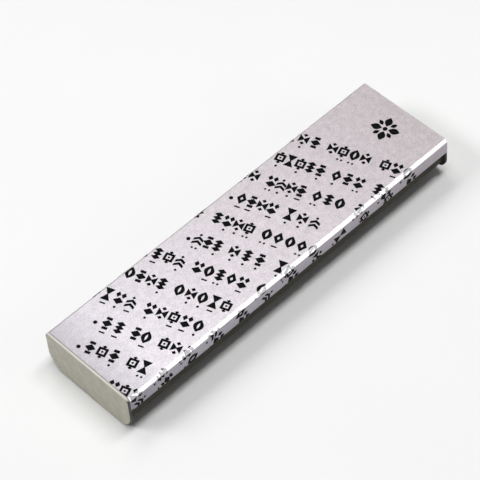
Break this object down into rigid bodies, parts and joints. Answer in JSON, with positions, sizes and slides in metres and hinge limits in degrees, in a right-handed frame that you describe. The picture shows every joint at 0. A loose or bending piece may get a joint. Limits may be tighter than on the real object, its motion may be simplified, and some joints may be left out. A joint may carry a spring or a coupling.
{
  "type": "mezuzah case",
  "caption": "Flat mezuzah case with a printed aluminium front cover that slides lengthwise off a dark back with pale end caps, holding a rolled parchment scroll.",
  "frame": {"origin": "centre of the plane that the case rests on when it lies on its back", "axes": "+X along the case to its upper end as it hangs, +Z out of the printed front, +Y to the left side seen from the front with the upper end away from the viewer"},
  "size_m": [0.12, 0.032, 0.014],
  "materials": {
    "cover_aluminium": "satin, fine brushed grain, black printed ornament",
    "back_plastic": "matte moulded",
    "cap_plastic": "matte, slightly silvery",
    "parchment": "scraped parchment",
    "wrap_paper": "thin smooth paper",
    "adhesive_foam": "closed-cell foam"
  },
  "bodies": {
    "case": {"back_body": "back_plastic", "bottom_end_cap": "cap_plastic", "top_end_cap": "cap_plastic", "upper_adhesive_strip": "adhesive_foam", "lower_adhesive_strip": "adhesive_foam"},
    "cover": {"front_cover": "cover_aluminium"},
    "scroll": {"parchment_scroll": "parchment", "scroll_wrap": "wrap_paper"}
  },
  "joints": [
    {"name": "cover_slide", "type": "slide", "parent": "case", "child": "cover", "axis": [1, 0, 0], "range_m": [0, 0.125]},
    {"name": "scroll_shift", "type": "slide", "parent": "case", "child": "scroll", "axis": [1, 0, 0], "range_m": [-0.005, 0.005]}
  ]
}
